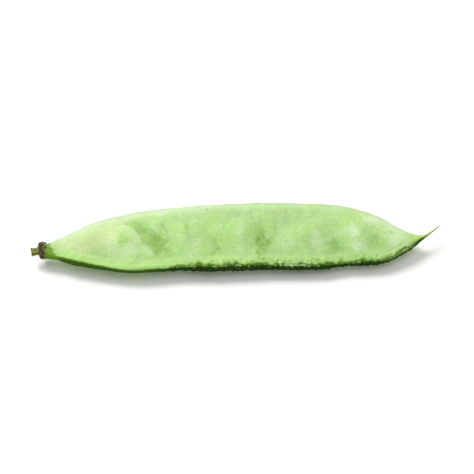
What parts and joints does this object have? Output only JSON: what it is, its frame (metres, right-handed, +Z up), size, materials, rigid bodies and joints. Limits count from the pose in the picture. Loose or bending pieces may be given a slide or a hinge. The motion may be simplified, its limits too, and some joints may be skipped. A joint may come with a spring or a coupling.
{
  "type": "hyacinth bean",
  "caption": "Flat green hyacinth bean pod with a curved beak, a rough edge, and a dry calyx and stub of stalk, lying on its side.",
  "frame": {"origin": "under the middle of the whole pod's plan, on the surface that it lies on", "axes": "+X from the stem end to the beak, +Y towards the smooth rounded edge, +Z up"},
  "size_m": [0.1106, 0.0248, 0.0068],
  "materials": {
    "pod_skin": "fresh pale green skin, softly downy, with a light waxy bloom",
    "dry_calyx": "dry brown, papery and dull",
    "stalk": "dull green-brown, fibrous where it broke"
  },
  "bodies": {
    "root": {"pod": "pod_skin", "calyx": "dry_calyx", "stalk": "stalk"}
  },
  "joints": []
}
